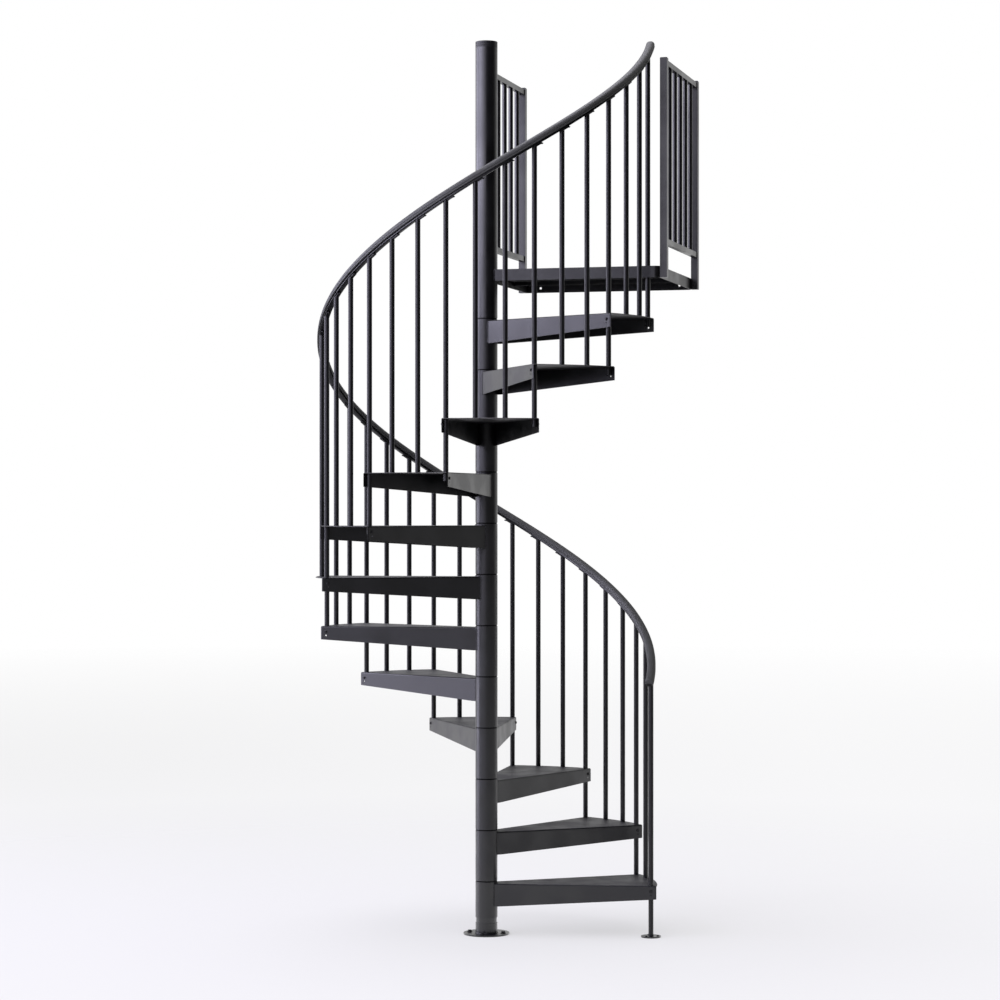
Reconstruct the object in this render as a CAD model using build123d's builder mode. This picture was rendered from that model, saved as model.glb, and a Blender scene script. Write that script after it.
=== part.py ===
from build123d import *
from math import atan2, cos, degrees, radians, sin
import os

# Steel spiral stair with a rectangular landing: treads welded to sleeves on a centre pole.
# Origin on the floor at the pole's axis, +Z up, +X along the landing's front edge.
# The stair climbs counter-clockwise seen from above, and its last baluster stands on the +X axis.

# Stair as a whole
stair_radius = 764.5
tread_count = 12
rise = 228.6
tread_turn = 29.364
gaps_per_tread = 3
sheet = 3.2
fit_gap = 0.3
overrun = 20.0

# Centre pole, its sleeves and its base
pole_diameter = 89.0
pole_wall = 5.5
sleeve_gap = 0.4
sleeve_wall = 4.6
collar_height = 9.4
base_diameter = 206.0
base_thickness = 6.4
base_hole_circle = 156.0
base_hole_diameter = 13.0
base_hole_count = 4
base_collar_height = 45.6
spacer_height = 24.0
washer_height = 5.5
washer_recess = 2.6
cap_height = 28.0
cap_edge_radius = 2.0
cap_groove = 1.6
cap_groove_pitch = 9.5
cap_groove_count = 2
pole_above_landing = 1021.0

# Treads
baluster_inset = 27.1
flange_depth = 101.6
flange_tip_depth = 57.0
flange_toe_in = 1.3
bend_radius = 6.0
plate_corner_radius = 9.0
bolt_hole_diameter = 7.0
bolt_hole_inset = 29.5
upper_bolt_drop = 25.0
lower_bolt_drop = 42.0

# Balusters and newel
baluster_diameter = 22.2
baluster_seat_gap = 1.2
baluster_tail = 36.0
tab_length = 36.0
tab_width = 16.0
tab_thickness = 6.0
foot_diameter = 89.0
foot_thickness = 6.0
foot_hole_circle = 62.0
foot_hole_diameter = 7.0
foot_hole_count = 3

# Handrail
rail_height = 963.0
rail_width = 38.0
rail_depth = 37.0
grip_depth = 27.0
grip_corner_radius = 13.0
track_width = 27.0
rail_lower_overhang = 62.0
rail_upper_overhang = 82.0
rail_section_count = 3

# Landing
landing_front = 25.0
landing_left = 0.0
landing_reach = 30.5
landing_back = 722.0
fascia_depth = 50.8
landing_corner_radius = 25.0
stiffener_count = 2
stiffener_depth = 32.0
landing_hole_diameter = 11.0
landing_hole_drop = 29.0
landing_hole_right_inset = 60.0
landing_hole_left_inset = 68.0

# Guard panels of the landing
guard_height = 914.4
guard_post = 31.8
guard_rail = 24.0
guard_rail_drop = 6.0
guard_bar_diameter = 22.2
guard_bar_count = 5
guard_floor_gap = 97.0
left_guard_bar_pitch = 111.5
left_guard_pole_gap = 2.0
right_guard_front = 0.0
guard_back_inset = 0.0

# Values that follow from the sizes above
sleeve_bore = pole_diameter + 2 * sleeve_gap
sleeve_diameter = sleeve_bore + 2 * sleeve_wall
baluster_circle = stair_radius - baluster_inset
baluster_turn = tread_turn / gaps_per_tread
baluster_count = tread_count * gaps_per_tread + 1
newel_angle = -tread_count * tread_turn
landing_top = (tread_count + 1) * rise
landing_right = stair_radius + landing_reach
stack_bottom = base_thickness + base_collar_height + spacer_height
pole_top = landing_top + pole_above_landing
washer_diameter = sleeve_diameter - 2 * washer_recess
corner_hole = baluster_diameter + 2 * fit_gap
rail_slope = degrees(atan2(rise, baluster_circle * radians(tread_turn)))
rail_half_height = rail_depth / 2 / cos(radians(rail_slope))


def level_plane(angle, height):
    turn = radians(angle)
    return Plane(origin=(0, 0, height), x_dir=(cos(turn), sin(turn), 0), z_dir=(0, 0, 1))


def side_plane(flat):
    return Plane(origin=flat.origin, x_dir=flat.x_dir, z_dir=flat.y_dir)


def tread_top(number):
    return number * rise


def sleeve_joint(number):
    # Middle of the washer between a tread's sleeve and the one above it
    return tread_top(number) + collar_height


def baluster_angle(index):
    return newel_angle + index * baluster_turn


def rail_centre(angle):
    climb = rise * (angle - newel_angle) / tread_turn
    return tread_top(1) + rail_height - rail_half_height + climb


def rail_plane(angle, drop):
    # On the handrail, drop below its centre line: x runs uphill, y towards the pole, z out of its top.
    turn, tilt = radians(angle), radians(rail_slope)
    uphill = Vector(-sin(turn) * cos(tilt), cos(turn) * cos(tilt), sin(tilt))
    upright = Vector(sin(turn) * sin(tilt), -cos(turn) * sin(tilt), cos(tilt))
    height = rail_centre(angle) - drop / cos(tilt)
    on_axis = Vector(baluster_circle * cos(turn), baluster_circle * sin(turn), height)
    return Plane(origin=on_axis, x_dir=uphill, z_dir=upright)


def save(builder, name):
    builder.part.label = name
    export_step(builder.part, f"parts/{name}.step")


# Base: a round floor plate, the collar that the pole stands in and a spacer ring under the first tread
with BuildPart() as base_plate:
    with BuildSketch():
        Circle(base_diameter / 2)
        with PolarLocations(base_hole_circle / 2, base_hole_count):
            Circle(base_hole_diameter / 2, mode=Mode.SUBTRACT)
    extrude(amount=base_thickness)
save(base_plate, "base_plate")

with BuildPart() as base_collar:
    with BuildSketch(Plane.XY.offset(base_thickness)):
        Circle(sleeve_diameter / 2)
        Circle(sleeve_bore / 2, mode=Mode.SUBTRACT)
    extrude(amount=base_collar_height)
save(base_collar, "base_collar")

with BuildPart() as spacer_ring:
    with BuildSketch(Plane.XY.offset(base_thickness + base_collar_height)):
        Circle(washer_diameter / 2)
        Circle(sleeve_bore / 2, mode=Mode.SUBTRACT)
    extrude(amount=spacer_height)
save(spacer_ring, "spacer_ring")

with BuildPart() as centre_pole:
    with BuildSketch(Plane.XY.offset(base_thickness)):
        Circle(pole_diameter / 2)
        Circle(pole_diameter / 2 - pole_wall, mode=Mode.SUBTRACT)
    extrude(amount=pole_top - cap_height - base_thickness)
save(centre_pole, "centre_pole")

with BuildPart() as pole_washers:
    for number in range(1, tread_count + 1):
        with BuildSketch(Plane.XY.offset(sleeve_joint(number) - washer_height / 2)):
            Circle(washer_diameter / 2)
            Circle(sleeve_bore / 2, mode=Mode.SUBTRACT)
        extrude(amount=washer_height)
save(pole_washers, "pole_washers")


# Treads: a bent wedge of sheet, open below and at its outer end, welded to a sleeve one rise tall
def make_tread(number):
    top = tread_top(number)
    flat = level_plane(newel_angle + (number - 0.5) * tread_turn, top)
    half_turn = radians(tread_turn / 2)
    flange_angle = radians(tread_turn / 2 - flange_toe_in)
    flange_offset = baluster_diameter / 2 + baluster_seat_gap + sheet
    sleeve_foot = stack_bottom if number == 1 else sleeve_joint(number - 1) + washer_height / 2
    sleeve_head = sleeve_joint(number) - washer_height / 2
    along, across = baluster_circle * cos(half_turn), baluster_circle * sin(half_turn)
    # The flange's outer face runs past the corner baluster at this distance from it.
    face_along = along - flange_offset * sin(flange_angle)
    face_across = across + flange_offset * cos(flange_angle)
    slope = sin(flange_angle) / cos(flange_angle)

    def half_width(distance, inset):
        return face_across + (distance - face_along) * slope - inset / cos(flange_angle)

    def wedge(inner, outer, inset):
        Polygon(
            (inner, -half_width(inner, inset)),
            (outer, -half_width(outer, inset)),
            (outer, half_width(outer, inset)),
            (inner, half_width(inner, inset)),
            align=None,
        )

    far = stair_radius + overrun
    with BuildPart() as tread:
        with BuildSketch(flat):
            wedge(0, far, 0)
            Circle(stair_radius, mode=Mode.INTERSECT)
        extrude(amount=-flange_depth)
        outer_corners = tread.edges().filter_by(Axis.Z).sort_by(SortBy.DISTANCE)[-2:]
        fillet(outer_corners, radius=plate_corner_radius)
        upright_faces = tread.faces().filter_by(GeomType.PLANE).filter_by(Axis.Z, reverse=True)
        long_faces = upright_faces.sort_by(SortBy.AREA)[-2:]
        fillet([face.edges().sort_by(Axis.Z)[-1] for face in long_faces], radius=bend_radius)
        with BuildSketch(flat.offset(-sheet)):
            wedge(0, far, sheet)
        extrude(amount=-flange_depth, mode=Mode.SUBTRACT)
        with BuildSketch(side_plane(flat)):
            Polygon(
                (sleeve_diameter / 2, flange_depth),
                (far, flange_tip_depth),
                (far, flange_depth + overrun),
                (sleeve_diameter / 2, flange_depth + overrun),
                align=None,
            )
        extrude(amount=stair_radius, both=True, mode=Mode.SUBTRACT)
        with BuildSketch(Plane.XY.offset(sleeve_foot)):
            Circle(sleeve_diameter / 2)
        extrude(amount=sleeve_head - sleeve_foot)
        with BuildSketch(Plane.XY.offset(sleeve_foot)):
            Circle(sleeve_bore / 2)
        extrude(amount=sleeve_head - sleeve_foot, mode=Mode.SUBTRACT)
        with BuildSketch(flat):
            with Locations((along, across), (along, -across)):
                Circle(corner_hole / 2)
        extrude(amount=-2 * sheet, mode=Mode.SUBTRACT)
        for side in (-1, 1):
            hole_along = stair_radius * cos(half_turn) - bolt_hole_inset
            face_point = flat.from_local_coords(Vector(hole_along, side * half_width(hole_along, 0), 0))
            outward = flat.x_dir * -sin(flange_angle) + flat.y_dir * side * cos(flange_angle)
            with BuildSketch(Plane(origin=face_point, x_dir=(0, 0, 1), z_dir=outward)):
                with Locations((-upper_bolt_drop, 0), (-lower_bolt_drop, 0)):
                    Circle(bolt_hole_diameter / 2)
            extrude(amount=-2 * sheet, mode=Mode.SUBTRACT)
    return tread


for number in range(1, tread_count + 1):
    save(make_tread(number), f"tread_{number:02d}")


# Balusters: round bars cut to the slope of the handrail, each with a fixing tab on its uphill side
def make_bar(index, foot):
    angle = baluster_angle(index)
    turn = radians(angle)
    seat = rail_plane(angle, rail_depth / 2 + fit_gap)
    with BuildPart() as bar:
        with BuildSketch(Plane(origin=(baluster_circle * cos(turn), baluster_circle * sin(turn), foot))):
            Circle(baluster_diameter / 2)
        extrude(amount=seat.origin.Z + baluster_diameter - foot)
        split(bisect_by=seat, keep=Keep.BOTTOM)
        with BuildSketch(seat):
            Rectangle(tab_length, tab_width, align=(Align.MIN, Align.CENTER))
        extrude(amount=-tab_thickness)
    return bar


# Each tread carries bars on its plate, and one through its rear corner and the next tread's front corner.
for number in range(1, tread_count + 1):
    with BuildPart() as balusters:
        for step in range(1, gaps_per_tread + 1):
            through_corner = step == gaps_per_tread
            foot = tread_top(number) - (baluster_tail if through_corner else 0)
            add(make_bar((number - 1) * gaps_per_tread + step, foot).part)
    save(balusters, f"balusters_{number:02d}")

save(make_bar(0, foot_thickness), "newel_post")

newel_turn = radians(newel_angle)
with BuildPart() as newel_foot:
    newel_place = (baluster_circle * cos(newel_turn), baluster_circle * sin(newel_turn))
    with BuildSketch(Plane(origin=(*newel_place, 0))):
        Circle(foot_diameter / 2)
        with PolarLocations(foot_hole_circle / 2, foot_hole_count):
            Circle(foot_hole_diameter / 2, mode=Mode.SUBTRACT)
    extrude(amount=foot_thickness)
save(newel_foot, "newel_foot")

# Handrail: a rounded grip over a narrower track, carried along a helix in sections joined end to end
rail_start = newel_angle - degrees(rail_lower_overhang / baluster_circle)
rail_end = baluster_angle(baluster_count - 1) + degrees(rail_upper_overhang / baluster_circle)
section_turn = (rail_end - rail_start) / rail_section_count
for section in range(rail_section_count):
    start = rail_start + section * section_turn
    climb = rise * section_turn / tread_turn
    path = level_plane(start, rail_centre(start)) * Helix(rise * 360 / tread_turn, climb, baluster_circle)
    along_rail = rail_plane(start, 0)
    with BuildPart() as handrail:
        with BuildSketch(Plane(origin=along_rail.origin, x_dir=along_rail.y_dir, z_dir=along_rail.x_dir)):
            with Locations((0, (rail_depth - grip_depth) / 2)):
                RectangleRounded(rail_width, grip_depth, grip_corner_radius)
            Rectangle(track_width, rail_depth / 2, align=(Align.CENTER, Align.MAX))
        sweep(path=path, is_frenet=True)
    save(handrail, f"handrail_{section + 1}")

# Landing: a sheet pan with a fascia on every side and stiffeners below, fitted round the upper sleeve
landing_length = landing_right - landing_left
landing_width = landing_back + landing_front
with BuildPart() as landing:
    with BuildSketch(Plane.XY.offset(landing_top)):
        with Locations((landing_left, -landing_front)):
            Rectangle(landing_length, landing_width, align=Align.MIN)
    extrude(amount=-fascia_depth)
    corners = landing.edges().filter_by(Axis.Z).sort_by(Axis.X)[-2:]
    fillet(corners, radius=landing_corner_radius)
    with BuildSketch(Plane.XY.offset(landing_top - sheet)):
        with Locations((landing_left + sheet, sheet - landing_front)):
            Rectangle(landing_length - 2 * sheet, landing_width - 2 * sheet, align=Align.MIN)
        fillet(vertices().sort_by(Axis.X)[-2:], radius=landing_corner_radius - sheet)
    extrude(amount=-fascia_depth, mode=Mode.SUBTRACT)
    with BuildSketch(Plane.XY.offset(landing_top - sheet)):
        for place in range(1, stiffener_count + 1):
            across = place * landing_width / (stiffener_count + 1) - landing_front
            with Locations((landing_left + sheet, across)):
                Rectangle(landing_length - 2 * sheet, sheet, align=(Align.MIN, Align.CENTER))
    extrude(amount=-stiffener_depth)
    with BuildSketch(Plane.XY.offset(landing_top)):
        Circle(sleeve_diameter / 2 + fit_gap)
    extrude(amount=-fascia_depth, mode=Mode.SUBTRACT)
    with BuildSketch(Plane.XY.offset(landing_top)):
        with Locations((baluster_circle, 0)):
            Circle(corner_hole / 2)
    extrude(amount=-2 * sheet, mode=Mode.SUBTRACT)
    with BuildSketch(Plane.XZ.offset(-landing_back)):
        for across in (landing_left + landing_hole_left_inset, landing_right - landing_hole_right_inset):
            with Locations((across, landing_top - landing_hole_drop)):
                Circle(landing_hole_diameter / 2)
    extrude(amount=2 * sheet, mode=Mode.SUBTRACT)
save(landing, "landing_platform")

# Upper end of the pole: a sleeve from the last tread, through the landing, up to a grooved cap
upper_sleeve_foot = sleeve_joint(tread_count) + washer_height / 2
with BuildPart() as upper_sleeve:
    with BuildSketch(Plane.XY.offset(upper_sleeve_foot)):
        Circle(sleeve_diameter / 2)
        Circle(sleeve_bore / 2, mode=Mode.SUBTRACT)
    extrude(amount=pole_top - cap_height - upper_sleeve_foot)
save(upper_sleeve, "upper_sleeve")

with BuildPart() as pole_cap:
    with BuildSketch(Plane.XZ):
        with Locations((0, pole_top)):
            Rectangle(sleeve_diameter / 2, cap_height, align=(Align.MIN, Align.MAX))
        fillet(vertices().sort_by(Axis.Y)[-2:].sort_by(Axis.X)[-1], radius=cap_edge_radius)
        for place in range(1, cap_groove_count + 1):
            with Locations((sleeve_diameter / 2, pole_top - place * cap_groove_pitch)):
                Rectangle(cap_groove, cap_groove, align=(Align.MAX, Align.MAX), mode=Mode.SUBTRACT)
    revolve(axis=Axis.Z)
save(pole_cap, "pole_cap")


# Guard panels: two posts, two rails and round bars between them, on the outer faces of the landing's sides
def make_guard(middle, front, back, bars):
    rail_low = landing_top + guard_floor_gap
    rail_high = landing_top + guard_height - guard_rail_drop - guard_rail
    with BuildPart() as guard:
        with BuildSketch(Plane.XY.offset(landing_top - fascia_depth)):
            with Locations((middle, front), (middle, back)):
                Rectangle(guard_post, guard_post)
        extrude(amount=fascia_depth + guard_height)
        for height in (rail_low, rail_high):
            with BuildSketch(Plane.XY.offset(height)):
                with Locations((middle, front)):
                    Rectangle(guard_rail, back - front, align=(Align.CENTER, Align.MIN))
            extrude(amount=guard_rail)
        with BuildSketch(Plane.XY.offset(rail_low)):
            for place in bars:
                with Locations((middle, place)):
                    Circle(guard_bar_diameter / 2)
        extrude(amount=rail_high - rail_low)
    return guard


guard_back = landing_back - guard_post / 2 - guard_back_inset
left_front = sleeve_diameter / 2 + left_guard_pole_gap + guard_post / 2
left_bars = [guard_back - place * left_guard_bar_pitch for place in range(1, guard_bar_count + 1)]
save(make_guard(landing_left - guard_post / 2, left_front, guard_back, left_bars), "left_guard")

right_pitch = (guard_back - right_guard_front) / (guard_bar_count + 1)
right_bars = [right_guard_front + place * right_pitch for place in range(1, guard_bar_count + 1)]
save(make_guard(landing_right + guard_post / 2, right_guard_front, guard_back, right_bars), "right_guard")
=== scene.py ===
import bpy
import numpy as np
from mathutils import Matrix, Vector


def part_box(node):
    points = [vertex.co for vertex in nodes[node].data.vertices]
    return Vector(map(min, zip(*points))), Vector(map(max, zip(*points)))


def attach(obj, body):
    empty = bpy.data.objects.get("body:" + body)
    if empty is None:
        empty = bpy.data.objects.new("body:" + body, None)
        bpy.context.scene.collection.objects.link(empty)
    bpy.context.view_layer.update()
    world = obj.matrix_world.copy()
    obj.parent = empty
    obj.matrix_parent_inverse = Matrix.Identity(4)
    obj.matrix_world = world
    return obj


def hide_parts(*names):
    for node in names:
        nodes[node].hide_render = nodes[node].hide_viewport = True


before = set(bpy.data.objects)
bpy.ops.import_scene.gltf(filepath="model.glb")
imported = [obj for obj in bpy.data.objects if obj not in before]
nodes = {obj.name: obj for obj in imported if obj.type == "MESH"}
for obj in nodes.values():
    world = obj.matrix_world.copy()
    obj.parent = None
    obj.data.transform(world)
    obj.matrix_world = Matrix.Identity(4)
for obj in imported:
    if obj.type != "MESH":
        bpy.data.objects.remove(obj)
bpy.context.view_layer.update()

treadNodes = sorted(name for name in nodes if name.startswith("tread_"))
railNodes = sorted(name for name in nodes if name.startswith("handrail_"))


def boxCentre(node):
    low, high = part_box(node)
    return (np.array(low) + np.array(high)) / 2


# the stair's helix, read from the frame: the last baluster stands on the +X axis
newelCentre = boxCentre("newel_foot")
stair = {"barCircle": float(np.hypot(newelCentre[0], newelCentre[1])),
         "newelAngle": float(np.arctan2(newelCentre[1], newelCentre[0])),
         "rise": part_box("tread_03")[1].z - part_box("tread_02")[1].z,
         "treads": len(treadNodes),
         "barsPerTread": 3,
         "sleeveRadius": (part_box("upper_sleeve")[1].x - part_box("upper_sleeve")[0].x) / 2}
stair["turn"] = (2 * np.pi - stair["newelAngle"]) % (2 * np.pi) / stair["treads"]
stair["barTurn"] = stair["turn"] / stair["barsPerTread"]
stair["tilt"] = np.arctan2(stair["rise"], stair["barCircle"] * stair["turn"])
print("frame: rise", round(stair["rise"], 4), "turn", round(float(np.degrees(stair["turn"])), 3),
      "bar circle", round(stair["barCircle"], 4))


# camera: level, with a long lens
view = {"turn": np.radians(15.056), "place": (3.29212, -11.99766, 1.91354), "focalPixels": 2778.56,
        "horizonRow": 506.35, "sidePixels": 0.45, "imageSize": 1000.0, "sensor": 36.0, "clipEnd": 200.0}
camera = bpy.data.cameras.new("photoCamera")
camera.sensor_width = view["sensor"]
camera.lens = view["focalPixels"] / view["imageSize"] * view["sensor"]
camera.shift_x = -view["sidePixels"] / view["imageSize"]
camera.shift_y = (view["horizonRow"] - view["imageSize"] / 2) / view["imageSize"]
camera.clip_end = view["clipEnd"]
cameraObject = bpy.data.objects.new("photoCamera", camera)
cameraObject.location = view["place"]
cameraObject.rotation_euler = (np.pi / 2, 0, view["turn"])
bpy.context.scene.collection.objects.link(cameraObject)
bpy.context.scene.camera = cameraObject


def viewPoint(right, forward, up):
    # a point given as metres to the right of the pole, behind it and above the floor, as the camera sees them
    c, s = np.cos(view["turn"]), np.sin(view["turn"])
    return Vector((right * c - forward * s, right * s + forward * c, up))


# soft lamps, most of them on the left; the low one is narrow, so that it reaches only the lower treads
studio = {"aim": 1.9,
          "key": {"at": (-6.4, 1.1, 3.8), "size": (6.5, 3.6), "watts": 420, "colour": (0.80, 0.78, 1.0)},
          "low": {"at": (-6.4, 1.1, 1.0), "size": (6.5, 1.8), "watts": 13, "colour": (0.80, 0.78, 1.0),
                  "aim": 0.8, "spread": np.radians(34)},
          "high": {"at": (-6.2, -2.4, 5.2), "size": (3.0, 2.6), "watts": 175, "colour": (0.82, 0.80, 1.0)},
          "side": {"at": (-5.4, -5.0, 4.4), "size": (4.2, 4.2), "watts": 300, "colour": (0.82, 0.80, 1.0)},
          "front": {"at": (-3.3, -9.0, 4.5), "size": (4.2, 4.0), "watts": 130, "colour": (0.88, 0.86, 1.0)},
          "top": {"at": (-0.5, 0.5, 8.0), "size": (4.0, 4.0), "watts": 290, "colour": (0.92, 0.90, 1.0)}}


def softLamp(name, spec):
    lamp = bpy.data.lights.new(name, "AREA")
    lamp.shape = "RECTANGLE"
    lamp.size, lamp.size_y = spec["size"]
    lamp.energy = spec["watts"]
    lamp.color = spec["colour"]
    lamp.spread = spec.get("spread", np.pi)
    lampObject = bpy.data.objects.new(name, lamp)
    lampObject.location = viewPoint(*spec["at"])
    aim = Vector((0, 0, spec.get("aim", studio["aim"]))) - lampObject.location
    lampObject.rotation_euler = aim.to_track_quat("-Z", "Y").to_euler()
    lampObject.visible_camera = False
    bpy.context.scene.collection.objects.link(lampObject)


for lampName in ("key", "low", "high", "side", "front", "top"):
    softLamp(lampName + "Lamp", studio[lampName])


def mathNode(tree, operation, first, second):
    node = tree.nodes.new("ShaderNodeMath")
    node.operation = operation
    for socket, value in zip(node.inputs, (first, second)):
        if isinstance(value, (int, float)):
            socket.default_value = value
        else:
            tree.links.new(value, socket)
    return node.outputs[0]


def rangeNode(tree, value, fromLow, fromHigh, toLow, toHigh, ease="SMOOTHSTEP"):
    node = tree.nodes.new("ShaderNodeMapRange")
    node.interpolation_type = ease
    for socket, number in zip(node.inputs[1:5], (fromLow, fromHigh, toLow, toHigh)):
        socket.default_value = number
    tree.links.new(value, node.inputs["Value"])
    return node.outputs["Result"]


def dotNode(tree, vector, direction):
    node = tree.nodes.new("ShaderNodeVectorMath")
    node.operation = "DOT_PRODUCT"
    node.inputs[1].default_value = direction
    tree.links.new(vector, node.inputs[0])
    return node.outputs["Value"]


def upwardNode(tree, vector):
    node = tree.nodes.new("ShaderNodeSeparateXYZ")
    tree.links.new(vector, node.inputs[0])
    return node.outputs["Z"]


def mixShader(tree, factor, first, second):
    node = tree.nodes.new("ShaderNodeMixShader")
    for socket, value in zip(node.inputs, (factor, first, second)):
        tree.links.new(value, socket)
    return node.outputs[0]


# white backdrop: seen as white, mirrored as white where it stands behind the stair and dimmer overhead,
# and a dim room elsewhere
backdrop = {"seen": 1.0, "ambient": 0.16, "room": 0.04, "behind": (-0.05, 0.45),
            "rise": (0.0, 0.5), "crown": 0.6}


def makeWorld():
    world = bpy.data.worlds.new("studioWorld")
    bpy.context.scene.world = world
    world.use_nodes = True
    tree = world.node_tree
    tree.nodes.clear()
    path = tree.nodes.new("ShaderNodeLightPath")
    direction = tree.nodes.new("ShaderNodeTexCoord").outputs["Generated"]
    away = dotNode(tree, direction, viewPoint(0, 1, 0))
    behind = rangeNode(tree, away, *backdrop["behind"], backdrop["room"], backdrop["seen"])
    crown = rangeNode(tree, upwardNode(tree, direction), *backdrop["rise"], backdrop["seen"],
                      backdrop["crown"], "LINEAR")
    mirrored = mathNode(tree, "MULTIPLY", behind, crown)
    seen = mathNode(tree, "MAXIMUM", path.outputs["Is Camera Ray"], path.outputs["Is Transmission Ray"])
    glossy = mathNode(tree, "MULTIPLY", path.outputs["Is Glossy Ray"], mirrored)
    shown = mathNode(tree, "MAXIMUM", mathNode(tree, "MULTIPLY", seen, backdrop["seen"]), glossy)
    plain = mathNode(tree, "SUBTRACT", 1.0, mathNode(tree, "MAXIMUM", seen, path.outputs["Is Glossy Ray"]))
    strength = mathNode(tree, "ADD", shown, mathNode(tree, "MULTIPLY", plain, backdrop["ambient"]))
    sky = tree.nodes.new("ShaderNodeBackground")
    sky.inputs["Color"].default_value = (1, 1, 1, 1)
    tree.links.new(strength, sky.inputs["Strength"])
    output = tree.nodes.new("ShaderNodeOutputWorld")
    tree.links.new(sky.outputs[0], output.inputs["Surface"])


makeWorld()
bpy.context.scene.view_settings.view_transform = "Standard"


def newMaterial(name):
    material = bpy.data.materials.new(name)
    material.use_nodes = True
    material.node_tree.nodes.clear()
    output = material.node_tree.nodes.new("ShaderNodeOutputMaterial")
    return material, material.node_tree, output


# floor: lengths in metres from the pole; pairs are the ends of a range
floor = {"radius": 40.0, "rings": 40, "spokes": 96, "drop": 0.0006,
         "paint": (0.70, 0.695, 0.69, 1), "glow": (0.955, 0.950, 0.972, 1), "glowShare": 0.74,
         "sheen": (2.3, 0.2), "sheenRise": (0.14, 0.45), "sheenReach": (4.0, 14.0), "sheenLeft": 0.35,
         "levelSpan": (-2.5, 2.5), "level": (0.92, 1.08), "shade": 0.24, "shadeReach": 1.1,
         "fade": (2.0, 26.0), "nearFade": (1.5, 6.0), "nearShare": 0.55, "farFade": (6.0, 26.0)}


def floorMaterial():
    material, tree, output = newMaterial("studioFloor")
    place = tree.nodes.new("ShaderNodeTexCoord").outputs["Object"]
    lengthNode = tree.nodes.new("ShaderNodeVectorMath")
    lengthNode.operation = "LENGTH"
    tree.links.new(place, lengthNode.inputs[0])
    distance = lengthNode.outputs["Value"]
    path = tree.nodes.new("ShaderNodeLightPath")
    seen = mathNode(tree, "MAXIMUM", path.outputs["Is Camera Ray"], path.outputs["Is Transmission Ray"])
    paint = tree.nodes.new("ShaderNodeBsdfDiffuse")
    paint.inputs["Color"].default_value = floor["paint"]
    glow = tree.nodes.new("ShaderNodeEmission")
    glow.inputs["Color"].default_value = floor["glow"]
    # painted reflection: seen in reflections the floor glows, strongly at a low angle and near the stair, and
    # hardly from straight above, standing in for a satin floor that shows the backdrop
    incoming = tree.nodes.new("ShaderNodeNewGeometry").outputs["Incoming"]
    sheen = rangeNode(tree, upwardNode(tree, incoming), *floor["sheenRise"], *floor["sheen"])
    reach = rangeNode(tree, distance, *floor["sheenReach"], 1, floor["sheenLeft"])
    paintedReflection = mathNode(tree, "MULTIPLY", sheen, reach)
    mirrored = mathNode(tree, "MULTIPLY", paintedReflection, path.outputs["Is Glossy Ray"])
    # painted light and shade: the glow runs from dimmer on the left to brighter on the right to even out the
    # lamps' falloff, and a painted shadow dims it under the stair
    rightward = dotNode(tree, place, viewPoint(1, 0, 0))
    level = rangeNode(tree, rightward, *floor["levelSpan"], *floor["level"], "LINEAR")
    sheltered = tree.nodes.new("ShaderNodeAmbientOcclusion")
    sheltered.inputs["Distance"].default_value = floor["shadeReach"]
    shade = rangeNode(tree, sheltered.outputs["AO"], 0, 1, 1 - floor["shade"], 1, "LINEAR")
    shown = mathNode(tree, "MULTIPLY", seen, mathNode(tree, "MULTIPLY", level, shade))
    tree.links.new(mathNode(tree, "MAXIMUM", shown, mirrored), glow.inputs["Strength"])
    glowing = mathNode(tree, "MAXIMUM", seen, path.outputs["Is Glossy Ray"])
    share = mathNode(tree, "MULTIPLY", glowing, floor["glowShare"])
    lit = mixShader(tree, share, paint.outputs[0], glow.outputs[0])
    # far out the floor gives way to the backdrop, sooner as the camera sees it
    fade = rangeNode(tree, distance, *floor["fade"], 0, 1, "LINEAR")
    nearFade = rangeNode(tree, distance, *floor["nearFade"], 0, floor["nearShare"], "LINEAR")
    farFade = rangeNode(tree, distance, *floor["farFade"], 0, 1 - floor["nearShare"], "LINEAR")
    seenFade = mathNode(tree, "MULTIPLY", seen, mathNode(tree, "ADD", nearFade, farFade))
    clear = tree.nodes.new("ShaderNodeBsdfTransparent")
    blend = mixShader(tree, mathNode(tree, "MAXIMUM", fade, seenFade), lit, clear.outputs[0])
    tree.links.new(blend, output.inputs["Surface"])
    return material


def makeFloor():
    # a disc whose rings grow as the square of their number; it fades to nothing at its rim, so it has no edge
    rings, spokes = floor["rings"], floor["spokes"]
    ring = np.linspace(0, 1, rings)[1:, None] ** 2 * floor["radius"]
    spoke = np.linspace(0, 2 * np.pi, spokes, endpoint=False)[None, :]
    points = np.stack([ring * np.cos(spoke), ring * np.sin(spoke), 0 * ring * spoke - floor["drop"]], -1)
    index = np.arange(points[..., 0].size).reshape(rings - 1, spokes)
    after = np.roll(index, -1, 1)
    quads = np.stack([index[:-1], index[1:], after[1:], after[:-1]], -1).reshape(-1, 4)
    mesh = bpy.data.meshes.new("studioFloor")
    mesh.from_pydata(points.reshape(-1, 3).tolist(), [], quads.tolist() + [index[0].tolist()])
    mesh.materials.append(floorMaterial())
    floorObject = bpy.data.objects.new("studioFloor", mesh)
    bpy.context.scene.collection.objects.link(floorObject)


makeFloor()
print("studio: camera, lamps, backdrop and floor")


def newGroup(name, inputs, outputs):
    group = bpy.data.node_groups.new(name, "ShaderNodeTree")
    for label, kind, value in inputs:
        socket = group.interface.new_socket(label, in_out="INPUT", socket_type=kind)
        if value is not None:
            socket.default_value = value
    for label, kind in outputs:
        group.interface.new_socket(label, in_out="OUTPUT", socket_type=kind)
    return group, group.nodes.new("NodeGroupInput"), group.nodes.new("NodeGroupOutput")


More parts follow.
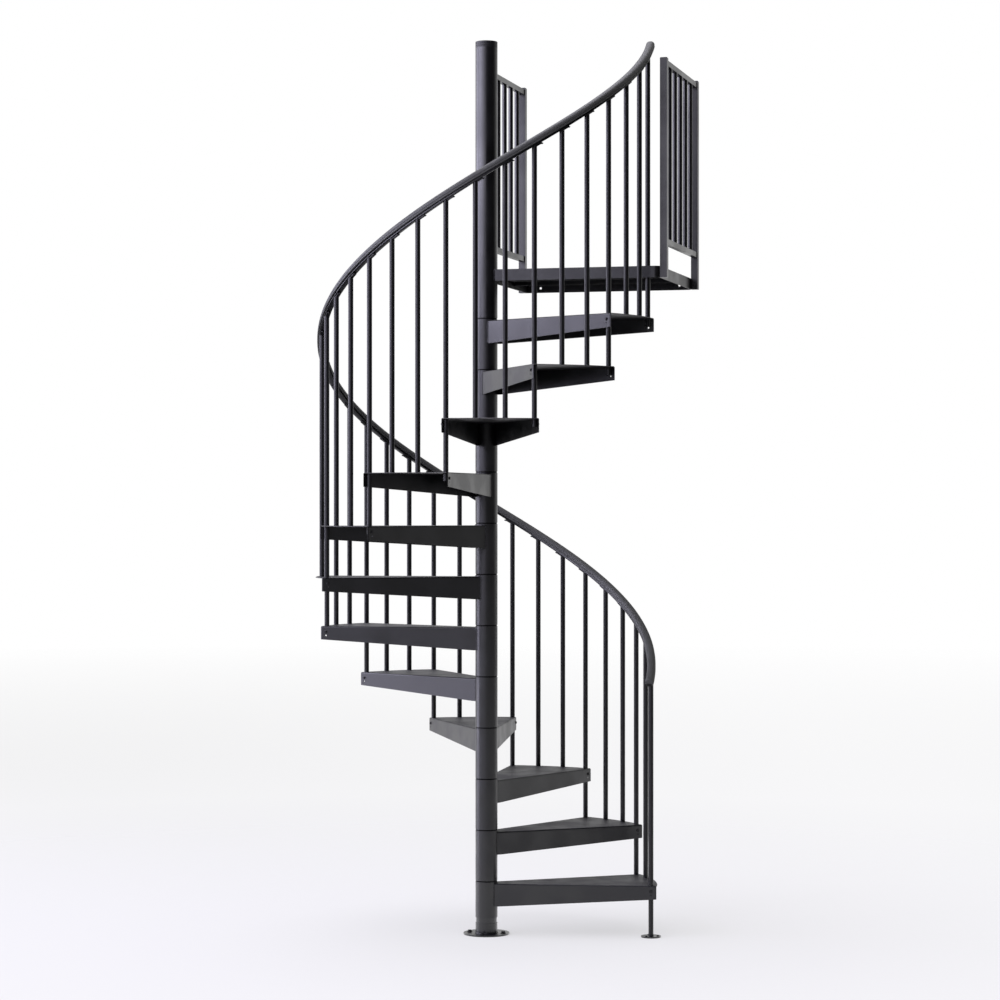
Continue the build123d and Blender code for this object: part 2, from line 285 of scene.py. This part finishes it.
def noiseNode(tree, vector, scale, detail):
    node = tree.nodes.new("ShaderNodeTexNoise")
    node.inputs["Detail"].default_value = detail
    if isinstance(scale, (int, float)):
        node.inputs["Scale"].default_value = scale
    else:
        tree.links.new(scale, node.inputs["Scale"])
    tree.links.new(vector, node.inputs["Vector"])
    return node.outputs["Fac"]


# sprayed coat: cells of orange peel as a height, and slow clouding of tone and gloss as a mask
spray = {"peel": 380.0, "peelDetail": 2, "cloud": 5.0, "cloudDetail": 5, "cloudSpan": (0.3, 0.7)}
sprayGroup, sprayIn, sprayOut = newGroup(
    "sprayTexture",
    [("Place", "NodeSocketVector", None), ("Peel Scale", "NodeSocketFloat", spray["peel"]),
     ("Cloud Scale", "NodeSocketFloat", spray["cloud"])],
    [("Peel", "NodeSocketFloat"), ("Cloud", "NodeSocketFloat")])
peelNoise = noiseNode(sprayGroup, sprayIn.outputs["Place"], sprayIn.outputs["Peel Scale"],
                      spray["peelDetail"])
sprayGroup.links.new(peelNoise, sprayOut.inputs["Peel"])
cloudNoise = noiseNode(sprayGroup, sprayIn.outputs["Place"], sprayIn.outputs["Cloud Scale"],
                       spray["cloudDetail"])
sprayGroup.links.new(rangeNode(sprayGroup, cloudNoise, *spray["cloudSpan"], 0, 1), sprayOut.inputs["Cloud"])

# dust: a thin broken film on faces that look up, as a mask
dust = {"patch": 14.0, "patchDetail": 6, "patchSpan": (0.35, 0.7), "broken": (0.65, 1),
        "facing": (0.55, 0.98), "tone": (0.100, 0.098, 0.103, 1), "rough": 0.2}
dustGroup, dustIn, dustOut = newGroup(
    "dustFilm",
    [("Place", "NodeSocketVector", None), ("Patch Scale", "NodeSocketFloat", dust["patch"])],
    [("Film", "NodeSocketFloat")])
dustNormal = dustGroup.nodes.new("ShaderNodeNewGeometry").outputs["Normal"]
dustUp = rangeNode(dustGroup, upwardNode(dustGroup, dustNormal), *dust["facing"], 0, 1)
dustPatch = noiseNode(dustGroup, dustIn.outputs["Place"], dustIn.outputs["Patch Scale"], dust["patchDetail"])
dustBroken = rangeNode(dustGroup, dustPatch, *dust["patchSpan"], *dust["broken"])
dustGroup.links.new(mathNode(dustGroup, "MULTIPLY", dustUp, dustBroken), dustOut.inputs["Film"])


def placeGroup(tree, group, **values):
    node = tree.nodes.new("ShaderNodeGroup")
    node.node_tree = group
    for label, value in values.items():
        socket = node.inputs[label.replace("_", " ")]
        if isinstance(value, (int, float)):
            socket.default_value = value
        else:
            tree.links.new(value, socket)
    return node


def mixColour(tree, factor, first, second):
    node = tree.nodes.new("ShaderNodeMix")
    node.data_type = "RGBA"
    tree.links.new(factor, node.inputs["Factor"])
    for socket, value in zip((node.inputs["A"], node.inputs["B"]), (first, second)):
        if isinstance(value, tuple):
            socket.default_value = value
        else:
            tree.links.new(value, socket)
    return node.outputs["Result"]


def coatShader(tree, output, spec, colour, rough, height):
    bump = tree.nodes.new("ShaderNodeBump")
    bump.inputs["Strength"].default_value = 1.0
    bump.inputs["Distance"].default_value = spec["height"]
    tree.links.new(height, bump.inputs["Height"])
    shader = tree.nodes.new("ShaderNodeBsdfPrincipled")
    shader.inputs["Specular IOR Level"].default_value = spec["specular"]
    shader.inputs["Metallic"].default_value = spec["metal"]
    tree.links.new(colour, shader.inputs["Base Color"])
    tree.links.new(rough, shader.inputs["Roughness"])
    tree.links.new(bump.outputs["Normal"], shader.inputs["Normal"])
    tree.links.new(shader.outputs[0], output.inputs["Surface"])


# finishes: tone and roughness run between two values with the clouding, dust lightens faces that look up
finishes = {
    "steelCoat": {"dark": (0.0022, 0.0022, 0.0028, 1), "pale": (0.0045, 0.0044, 0.0056, 1),
                  "rough": (0.28, 0.38), "peel": 380.0, "cloud": 5.0, "height": 0.00003,
                  "specular": 0.6, "dust": 0.0, "metal": 0.0},
    "barCoat": {"dark": (0.0022, 0.0022, 0.0028, 1), "pale": (0.0045, 0.0044, 0.0056, 1),
                "rough": (0.36, 0.46), "peel": 380.0, "cloud": 5.0, "height": 0.00001,
                "specular": 0.38, "dust": 0.0, "metal": 0.0},
    "treadCoat": {"dark": (0.0022, 0.0022, 0.0028, 1), "pale": (0.0048, 0.0047, 0.0060, 1),
                  "rough": (0.34, 0.44), "peel": 300.0, "cloud": 7.0, "height": 0.00004,
                  "specular": 0.6, "dust": 0.4, "metal": 0.0},
    "washerNylon": {"dark": (0.0012, 0.0012, 0.0013, 1), "pale": (0.0022, 0.0022, 0.0024, 1),
                    "rough": (0.6, 0.75), "peel": 900.0, "cloud": 20.0, "height": 0.00002,
                    "specular": 0.1, "dust": 0.0, "metal": 0.0},
    "capPlastic": {"dark": (0.0060, 0.0060, 0.0066, 1), "pale": (0.0100, 0.0100, 0.0110, 1),
                   "rough": (0.38, 0.5), "peel": 1400.0, "cloud": 18.0, "height": 0.000012,
                   "specular": 0.45, "dust": 0.3, "metal": 0.0},
    "boltBlack": {"dark": (0.0120, 0.0118, 0.0125, 1), "pale": (0.0300, 0.0290, 0.0300, 1),
                  "rough": (0.28, 0.42), "peel": 1800.0, "cloud": 60.0, "height": 0.000008,
                  "specular": 0.5, "dust": 0.0, "metal": 0.6},
}


def makeFinish(name, spec):
    material, tree, output = newMaterial(name)
    place = tree.nodes.new("ShaderNodeTexCoord").outputs["Object"]
    sprayed = placeGroup(tree, sprayGroup, Place=place, Peel_Scale=spec["peel"], Cloud_Scale=spec["cloud"])
    colour = mixColour(tree, sprayed.outputs["Cloud"], spec["dark"], spec["pale"])
    rough = rangeNode(tree, sprayed.outputs["Cloud"], 0, 1, *spec["rough"])
    if spec["dust"]:
        film = placeGroup(tree, dustGroup, Place=place).outputs["Film"]
        colour = mixColour(tree, mathNode(tree, "MULTIPLY", film, spec["dust"]), colour, dust["tone"])
        rough = mathNode(tree, "ADD", rough, mathNode(tree, "MULTIPLY", film, dust["rough"]))
    coatShader(tree, output, spec, colour, rough, sprayed.outputs["Peel"])
    return material


finish = {name: makeFinish(name, spec) for name, spec in finishes.items()}

# handrail grip: satin vinyl, drawn out lengthwise, so its streaks follow the piece's own UV map (metres)
vinyl = {"dark": (0.050, 0.051, 0.048, 1), "pale": (0.080, 0.081, 0.077, 1), "rough": (0.56, 0.68),
         "peel": 700.0, "cloud": 6.0, "height": 0.000025, "specular": 0.5, "metal": 0.0,
         "streak": (3.0, 900.0), "streakDetail": 3, "streakSpan": (0.3, 0.7), "streakShare": 0.5}


def makeVinyl():
    material, tree, output = newMaterial("gripVinyl")
    place = tree.nodes.new("ShaderNodeTexCoord")
    stretch = tree.nodes.new("ShaderNodeMapping")
    stretch.inputs["Scale"].default_value = (*vinyl["streak"], 1)
    tree.links.new(place.outputs["UV"], stretch.inputs["Vector"])
    streak = noiseNode(tree, stretch.outputs["Vector"], 1.0, vinyl["streakDetail"])
    streak = rangeNode(tree, streak, *vinyl["streakSpan"], 0, vinyl["streakShare"])
    sprayed = placeGroup(tree, sprayGroup, Place=place.outputs["Object"], Peel_Scale=vinyl["peel"],
                         Cloud_Scale=vinyl["cloud"])
    clouded = mathNode(tree, "MULTIPLY", sprayed.outputs["Cloud"], 1 - vinyl["streakShare"])
    tone = mathNode(tree, "ADD", clouded, streak)
    colour = mixColour(tree, tone, vinyl["dark"], vinyl["pale"])
    rough = rangeNode(tree, tone, 0, 1, *vinyl["rough"])
    coatShader(tree, output, vinyl, colour, rough, mathNode(tree, "ADD", sprayed.outputs["Peel"], streak))
    return material


finish["gripVinyl"] = makeVinyl()


def finishFor(node):
    if node.startswith("tread_") or node == "landing_platform":
        return "treadCoat"
    if node.startswith("balusters_") or node == "newel_post":
        return "barCoat"
    if node == "pole_washers":
        return "washerNylon"
    return "capPlastic" if node == "pole_cap" else "steelCoat"


for name, node in nodes.items():
    node.data.materials.clear()
    node.data.materials.append(finish[finishFor(name)])
print("finishes:", len(finish), "on", len(nodes), "nodes")


def tubePiece(name, rings, ends, material, uv=None):
    # closed tubes: rings is (tubes, rows, columns, 3), its columns running anticlockwise about the way along,
    # and ends is (tubes, 2, 3), the points that close a tube's first and last rings
    count, rows, columns = rings.shape[:3]
    index = np.arange(count * rows * columns).reshape(count, rows, columns)
    after = np.roll(index, -1, 2)
    pole = index.size + np.arange(count * 2).reshape(count, 2, 1) + np.zeros((1, 1, columns), int)
    sides = np.stack([index[:, :-1], after[:, :-1], after[:, 1:], index[:, 1:]], -1).reshape(-1, 4)
    foot = np.stack([after[:, 0], index[:, 0], pole[:, 0]], -1).reshape(-1, 3)
    head = np.stack([index[:, -1], after[:, -1], pole[:, 1]], -1).reshape(-1, 3)
    points = np.concatenate([rings.reshape(-1, 3), ends.reshape(-1, 3)])
    mesh = bpy.data.meshes.new(name)
    mesh.from_pydata(points.tolist(), [], sides.tolist() + foot.tolist() + head.tolist())
    mesh.polygons.foreach_set("use_smooth", np.ones(len(mesh.polygons), bool))
    if uv is not None:
        # uv is (rows, columns + 1, 2) for a single tube, its last column closing the seam
        corner = np.stack([uv[:-1, :-1], uv[:-1, 1:], uv[1:, 1:], uv[1:, :-1]], 2).reshape(-1, 2)
        closing = [np.repeat(uv[row, :1], len(faces) * 3, 0) for row, faces in ((0, foot), (-1, head))]
        layer = mesh.uv_layers.new(name="along")
        layer.data.foreach_set("uv", np.concatenate([corner, *closing]).ravel())
    mesh.materials.append(finish[material])
    piece = bpy.data.objects.new(name, mesh)
    bpy.context.scene.collection.objects.link(piece)
    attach(piece, "root")
    return piece


def runLength(points):
    # the length run along a line of points, from 0 at the first
    return np.concatenate([[0], np.cumsum(np.linalg.norm(np.diff(points, axis=0), axis=1))])


def roundedOutline(corners, radii, steps):
    # a closed outline: each corner of a polygon gives way to an arc that touches its two sides
    corners, radii = np.array(corners), np.array(radii)[:, None]
    back, ahead = np.roll(corners, 1, 0) - corners, np.roll(corners, -1, 0) - corners
    back /= np.linalg.norm(back, axis=1, keepdims=True)
    ahead /= np.linalg.norm(ahead, axis=1, keepdims=True)
    half = np.arccos(np.clip((back * ahead).sum(1, keepdims=True), -1, 1)) / 2
    middle = (back + ahead) / np.linalg.norm(back + ahead, axis=1, keepdims=True)
    centre = corners + middle * radii / np.sin(half)
    first = corners + back * radii / np.tan(half) - centre
    last = corners + ahead * radii / np.tan(half) - centre
    sweep, share = (np.pi - 2 * half)[:, None], np.linspace(0, 1, steps)[None, :, None]
    arc = np.sin((1 - share) * sweep) * first[:, None] + np.sin(share * sweep) * last[:, None]
    return (centre[:, None] + arc / np.sin(sweep)).reshape(-1, 2)


# handrail: outlines are (inward, upright) from the middle of its depth; domes are the lengths of the two
# rounded ends, and trackInset is how far the track stops short of the grip at each end
rail = {"height": 0.963, "depth": 0.037, "lowerOverhang": 0.062, "upperOverhang": 0.090,
        "steps": 720, "endSteps": 14, "endSwing": np.radians(84), "gripArcSteps": 5, "trackArcSteps": 3,
        "gripCorners": [(-0.0190, 0.0185), (-0.0190, 0.0010), (-0.0174, 0.0000), (-0.0174, -0.0026),
                        (-0.0190, -0.0036), (-0.0190, -0.0088), (-0.0125, -0.0088), (-0.0125, -0.0040),
                        (0.0125, -0.0040), (0.0125, -0.0088), (0.0190, -0.0088), (0.0190, -0.0036),
                        (0.0174, -0.0026), (0.0174, 0.0000), (0.0190, 0.0010), (0.0190, 0.0185)],
        "gripRadii": [0.0155, 0.0007, 0.0006, 0.0006, 0.0012, 0.0026, 0.0012, 0.0010,
                      0.0010, 0.0012, 0.0026, 0.0012, 0.0006, 0.0006, 0.0007, 0.0155],
        "trackCorners": [(-0.0118, -0.0030), (-0.0118, -0.0156), (-0.0135, -0.0156), (-0.0135, -0.0185),
                         (0.0135, -0.0185), (0.0135, -0.0156), (0.0118, -0.0156), (0.0118, -0.0030)],
        "trackRadii": [0.0010, 0.0006, 0.0006, 0.0008, 0.0008, 0.0006, 0.0006, 0.0010],
        "gripDome": (0.003, 0.019), "trackDome": (0.001, 0.001), "trackInset": (0.000, 0.022)}
rail["half"] = rail["depth"] / 2 / np.cos(stair["tilt"])


def railFrame(angle):
    # a point of the rail's centre line, and its uphill, inward and upright directions there
    angle = np.asarray(angle)
    climb = stair["rise"] * (angle - stair["newelAngle"]) / stair["turn"]
    height = stair["rise"] + rail["height"] - rail["half"] + climb
    c, s, flat = np.cos(angle), np.sin(angle), 0 * angle
    ct, st = np.cos(stair["tilt"]), np.sin(stair["tilt"])
    centre = np.stack([stair["barCircle"] * c, stair["barCircle"] * s, height], -1)
    uphill = np.stack([-s * ct, c * ct, flat + st], -1)
    inward = np.stack([-c, -s, flat], -1)
    upright = np.stack([s * st, -c * st, flat + ct], -1)
    return centre, uphill, inward, upright


def railSweep(name, outline, startTrim, endTrim, dome, material, slot):
    # the outline carried up the helix; near an end it shrinks to its middle as a quarter ellipse does
    lastAngle = stair["newelAngle"] + stair["turn"] * stair["treads"]
    first = stair["newelAngle"] * stair["barCircle"] - rail["lowerOverhang"] + startTrim
    last = lastAngle * stair["barCircle"] + rail["upperOverhang"] - endTrim
    swing = np.linspace(0, rail["endSwing"], rail["endSteps"])
    run = np.linspace(first + dome[0], last - dome[1], rail["steps"])
    low = first + dome[0] * (1 - np.sin(swing[:0:-1]))
    high = last - dome[1] * (1 - np.sin(swing[1:]))
    along = np.concatenate([low, run, high])
    reach = np.ptp(outline[:, 0]) / 2
    lowSize = 1 - dome[0] / reach * (1 - np.cos(swing[:0:-1]))
    highSize = 1 - min(dome[1] / reach, 1.0) * (1 - np.cos(swing[1:]))
    size = np.concatenate([lowSize, np.ones(len(run)), highSize])[:, None, None]
    centre, _, inward, upright = railFrame(along / stair["barCircle"])
    middle = np.array([0, outline[:, 1].mean()])
    shape = middle + (outline - middle) * size
    rings = centre[:, None] + inward[:, None] * shape[..., :1] + upright[:, None] * shape[..., 1:]
    tipCentre, _, _, tipUpright = railFrame(np.array([first, last]) / stair["barCircle"])
    ends = tipCentre + tipUpright * middle[1]
    girth = runLength(np.concatenate([outline, outline[:1]]))
    uv = np.stack(np.meshgrid(along - first, girth, indexing="ij"), -1)
    return tubePiece(name, rings[None], ends[None], material, uv)


gripOutline = roundedOutline(rail["gripCorners"], rail["gripRadii"], rail["gripArcSteps"])
trackOutline = roundedOutline(rail["trackCorners"], rail["trackRadii"], rail["trackArcSteps"])
railGrip = railSweep("railGrip", gripOutline, 0, 0, rail["gripDome"], "gripVinyl", "handrail_grip")
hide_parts(*railNodes)
railSweep("railTrack", trackOutline, *rail["trackInset"], rail["trackDome"], "steelCoat", "stair_steel")
print("handrail: grip and track, over", len(railNodes), "nodes")


# fasteners: "profile" is rows of (radius, height), and "facets" the numbers of the rows that follow a hexagon
fastener = {"sharp": np.radians(32), "uprightLimit": 0.9}


def turnedPieces(name, places, axes, spec):
    # the profile turned about each axis; on a hexagon's rows the radius is that of its flats
    places, axes = np.asarray(places), np.asarray(axes)
    isUpright = np.abs(axes[:, 2:]) > fastener["uprightLimit"]
    aside = np.cross(axes, np.where(isUpright, [1.0, 0, 0], [0, 0, 1.0]))
    aside /= np.linalg.norm(aside, axis=1, keepdims=True)
    across = np.cross(axes, aside)
    turn = np.linspace(0, 2 * np.pi, spec["columns"], endpoint=False)
    hexagon = 1 / np.cos((turn + np.pi / 6) % (np.pi / 3) - np.pi / 6)
    rows = np.array(spec["profile"])
    faceted = np.isin(np.arange(len(rows)), spec["facets"])
    radius = rows[1:-1, :1] * np.where(faceted[1:-1, None], hexagon, 1.0)
    spoke = (np.cos(turn)[:, None] * aside[:, None] + np.sin(turn)[:, None] * across[:, None])[:, None]
    lift = rows[1:-1, 1][None, :, None, None] * axes[:, None, None]
    rings = places[:, None, None] + radius[None, ..., None] * spoke + lift
    ends = places[:, None] + rows[[0, -1], 1][None, :, None] * axes[:, None]
    piece = tubePiece(name, rings, ends, "boltBlack")
    piece.data.set_sharp_from_angle(angle=fastener["sharp"])


# tread: its flanges pass the corner balusters at flangeOffset, and slope and rootAcross give a flange's line
tread = {"radius": 0.7645, "flangeOffset": 0.0155, "toeIn": np.radians(1.3), "holeInset": 0.0295,
         "flangeDepth": 0.1016}
tread["half"] = stair["turn"] / 2
tread["flangeAngle"] = tread["half"] - tread["toeIn"]
tread["slope"] = np.tan(tread["flangeAngle"])
flangeAcross = stair["barCircle"] * np.sin(tread["half"])
flangeAcross += tread["flangeOffset"] * np.cos(tread["flangeAngle"])
flangeAlong = stair["barCircle"] * np.cos(tread["half"])
flangeAlong -= tread["flangeOffset"] * np.sin(tread["flangeAngle"])
tread["rootAcross"] = flangeAcross - flangeAlong * tread["slope"]
treadNumber = np.arange(1, stair["treads"] + 1)
treadAngle = stair["newelAngle"] + (treadNumber - 0.5) * stair["turn"]

# tread ends: a bolt through the upper hole of each flange holds the corner baluster
tipBolt = {"drop": 0.025, "columns": 24, "facets": (6, 7),
           "profile": [(0, -0.006), (0.0030, -0.006), (0.0030, 0), (0.0072, 0), (0.0072, 0.0010),
                       (0.0066, 0.0013), (0.0046, 0.0013), (0.0046, 0.0044), (0.0040, 0.0052),
                       (0.0024, 0.0052), (0, 0.0047)]}


def makeTipBolts():
    places, axes = [], []
    along = tread["radius"] * np.cos(tread["half"]) - tread["holeInset"]
    across = tread["rootAcross"] + along * tread["slope"]
    ahead = np.stack([np.cos(treadAngle), np.sin(treadAngle), 0 * treadAngle], -1)
    beside = np.stack([-np.sin(treadAngle), np.cos(treadAngle), 0 * treadAngle], -1)
    level = np.stack([0 * treadAngle, 0 * treadAngle, treadNumber * stair["rise"] - tipBolt["drop"]], -1)
    for side in (-1, 1):
        places.append(ahead * along + beside * side * across + level)
        axes.append(-ahead * np.sin(tread["flangeAngle"]) + beside * side * np.cos(tread["flangeAngle"]))
    turnedPieces("tipBolts", np.concatenate(places), np.concatenate(axes), tipBolt)


makeTipBolts()

# a screw up through each baluster's tab into the track
tabScrew = {"uphill": 0.026, "below": 0.0063, "columns": 12, "facets": (),
            "profile": [(0, -0.003), (0.0026, -0.003), (0.0026, 0), (0.0050, 0), (0.0050, 0.0008),
                        (0.0044, 0.0022), (0.0030, 0.0030), (0.0016, 0.0032), (0.0012, 0.0014), (0, 0.0014)]}
barAngle = stair["newelAngle"] + np.arange(stair["treads"] * stair["barsPerTread"] + 1) * stair["barTurn"]


def makeTabScrews():
    centre, uphill, _, upright = railFrame(barAngle)
    places = centre + uphill * tabScrew["uphill"] - upright * (rail["depth"] / 2 + tabScrew["below"])
    turnedPieces("tabScrews", places, -upright, tabScrew)


makeTabScrews()

# floor fixings: hexagon bolts on washers round the base plate, low round heads in the newel's foot
anchor = {"circle": 0.078, "count": 4, "columns": 24, "facets": (6, 7),
          "profile": [(0, -0.004), (0.0055, -0.004), (0.0055, 0), (0.0125, 0), (0.0125, 0.0016),
                      (0.0117, 0.0020), (0.0080, 0.0020), (0.0080, 0.0078), (0.0069, 0.0090),
                      (0.0040, 0.0090), (0, 0.0085)]}
footScrew = {"circle": 0.031, "count": 3, "columns": 24, "facets": (),
             "profile": [(0, -0.004), (0.0030, -0.004), (0.0030, 0), (0.0062, 0), (0.0062, 0.0008),
                         (0.0054, 0.0025), (0.0036, 0.0035), (0.0018, 0.0037), (0.0014, 0.0018), (0, 0.0018)]}


def makeFixings(name, spec, middle, top):
    angle = np.arange(spec["count"]) * 2 * np.pi / spec["count"]
    places = np.stack([middle[0] + spec["circle"] * np.cos(angle), middle[1] + spec["circle"] * np.sin(angle),
                       0 * angle + top], -1)
    turnedPieces(name, places, np.tile([0.0, 0, 1], (spec["count"], 1)), spec)


makeFixings("anchorBolts", anchor, (0, 0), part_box("base_plate")[1].z)
makeFixings("footScrews", footScrew, newelCentre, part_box("newel_foot")[1].z)
print("fixings: tip bolts, tab screws, anchor bolts, foot screws")


# weld beads: "radius" and "barBead" are the beads' own, "bar" is a baluster's radius
weld = {"radius": 0.0030, "barBead": 0.0016, "bar": 0.0111, "columns": 8, "steps": 210, "ringSteps": 40,
        "ringTurns": 1.01, "corner": 0.006, "bendSteps": 9, "pitch": 0.0042, "ripple": 0.10,
        "wander": 0.06, "wanderPitches": 3.7, "wanderShift": 40}


def beadRings(path, thick):
    # a round bead along a path: its radius swells with two sines of the length run, like a row of weld pools
    ahead = np.gradient(path, axis=0)
    ahead /= np.linalg.norm(ahead, axis=1, keepdims=True)
    out = path * [1.0, 1.0, 0.0]
    out -= ahead * (out * ahead).sum(1, keepdims=True)
    out /= np.linalg.norm(out, axis=1, keepdims=True)
    side = np.cross(ahead, out)
    pools = 2 * np.pi * runLength(path) / weld["pitch"]
    swell = 1 + weld["ripple"] * np.sin(pools)
    swell += weld["wander"] * np.sin(pools / weld["wanderPitches"] + weld["wanderShift"] * path[0, 2])
    turn = np.linspace(0, 2 * np.pi, weld["columns"], endpoint=False)[None, :, None]
    spoke = np.cos(turn) * out[:, None] + np.sin(turn) * side[:, None]
    return path[:, None] + thick * swell[:, None, None] * spoke


def sleevePath(first, last, drop, top):
    # on the sleeve, unrolled: up a flange, over the plate and down the other flange, the two corners rounded
    r, corner = stair["sleeveRadius"], weld["corner"]
    bend = np.linspace(0, np.pi / 2, weld["bendSteps"])
    x = np.concatenate([[first * r], first * r + corner * (1 - np.cos(bend)),
                        last * r - corner * (1 - np.sin(bend)), [last * r]])
    z = np.concatenate([[-drop], -corner * (1 - np.sin(bend)), -corner * (1 - np.cos(bend)), [-drop]])
    length = runLength(np.stack([x, z], -1))
    even = np.linspace(0, length[-1], weld["steps"])
    x, z = np.interp(even, length, x), np.interp(even, length, z)
    return np.stack([r * np.cos(x / r), r * np.sin(x / r), top + z], -1)


def makeSleeveWelds():
    # a flange meets the sleeve where its straight face crosses the sleeve's circle
    k, c = tread["slope"], tread["rootAcross"]
    root = np.sqrt((c * k) ** 2 - (1 + k * k) * (c * c - stair["sleeveRadius"] ** 2))
    along = (root - c * k) / (1 + k * k)
    half = np.arctan2(c + along * k, along)
    paths = [sleevePath(angle - half, angle + half, tread["flangeDepth"], number * stair["rise"])
             for angle, number in zip(treadAngle, treadNumber)]
    low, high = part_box("landing_platform")
    front = np.arcsin(low.y / stair["sleeveRadius"])
    side = np.arccos(low.x / stair["sleeveRadius"])
    paths.append(sleevePath(front, side, high.z - low.z, high.z))
    rings = np.stack([beadRings(path, weld["radius"]) for path in paths])
    ends = np.stack([path[[0, -1]] for path in paths])
    tubePiece("sleeveWelds", rings, ends, "steelCoat")


makeSleeveWelds()


def ringBead(middle, radius, top, thick):
    # a bead round an upright bar, its end run a little past its start
    turn = np.linspace(0, 2 * np.pi * weld["ringTurns"], weld["ringSteps"])
    path = np.stack([radius * np.cos(turn), radius * np.sin(turn), 0 * turn + top], -1)
    shift = np.array([middle[0], middle[1], 0])
    return beadRings(path, thick) + shift, path[[0, -1]] + shift


def makeRingWelds():
    # round the balusters that stand on a tread's plate, the newel on its foot and the pole on the base plate
    index = np.arange(1, len(barAngle))
    beads = []
    for i in index[index % stair["barsPerTread"] != 0]:
        middle = stair["barCircle"] * np.array([np.cos(barAngle[i]), np.sin(barAngle[i])])
        top = stair["rise"] * ((i - 1) // stair["barsPerTread"] + 1)
        beads.append(ringBead(middle, weld["bar"], top, weld["barBead"]))
    beads.append(ringBead(newelCentre, weld["bar"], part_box("newel_foot")[1].z, weld["barBead"]))
    beads.append(ringBead((0, 0), stair["sleeveRadius"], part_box("base_plate")[1].z, weld["radius"]))
    rings, ends = (np.stack(part) for part in zip(*beads))
    tubePiece("ringWelds", rings, ends, "steelCoat")


makeRingWelds()
print("welds: sleeves, landing, bars and base")


# a low moulded lid on each guard post: "rows" are (share of the half width, height)
lid = {"half": 0.0154, "corner": 0.0030, "arcSteps": 7, "head": 0.0033, "post": 0.0318,
       "sharp": np.radians(40),
       "rows": [(0.80, -0.0030), (1.0, -0.0030), (1.0, 0.0012), (0.965, 0.0024), (0.90, 0.0030)]}


def makeLids():
    square = np.array([(-1, -1), (1, -1), (1, 1), (-1, 1)]) * lid["half"]
    outline = roundedOutline(square, [lid["corner"]] * len(square), lid["arcSteps"])
    places = []
    for node in ("left_guard", "right_guard"):
        low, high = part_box(node)
        for y in (low.y + lid["post"] / 2, high.y - lid["post"] / 2):
            places.append(((low.x + high.x) / 2, y, high.z))
    places = np.array(places)
    size, lift = np.array(lid["rows"]).T
    flat = outline[None] * size[:, None, None]
    shape = np.concatenate([flat, np.broadcast_to(lift[:, None, None], flat[..., :1].shape)], -1)
    rings = places[:, None, None] + shape[None]
    ends = places[:, None] + np.array([[0, 0, lift[0]], [0, 0, lid["head"]]])
    piece = tubePiece("postLids", rings, ends, "capPlastic")
    piece.data.set_sharp_from_angle(angle=lid["sharp"])


makeLids()
print("lids: guard posts")
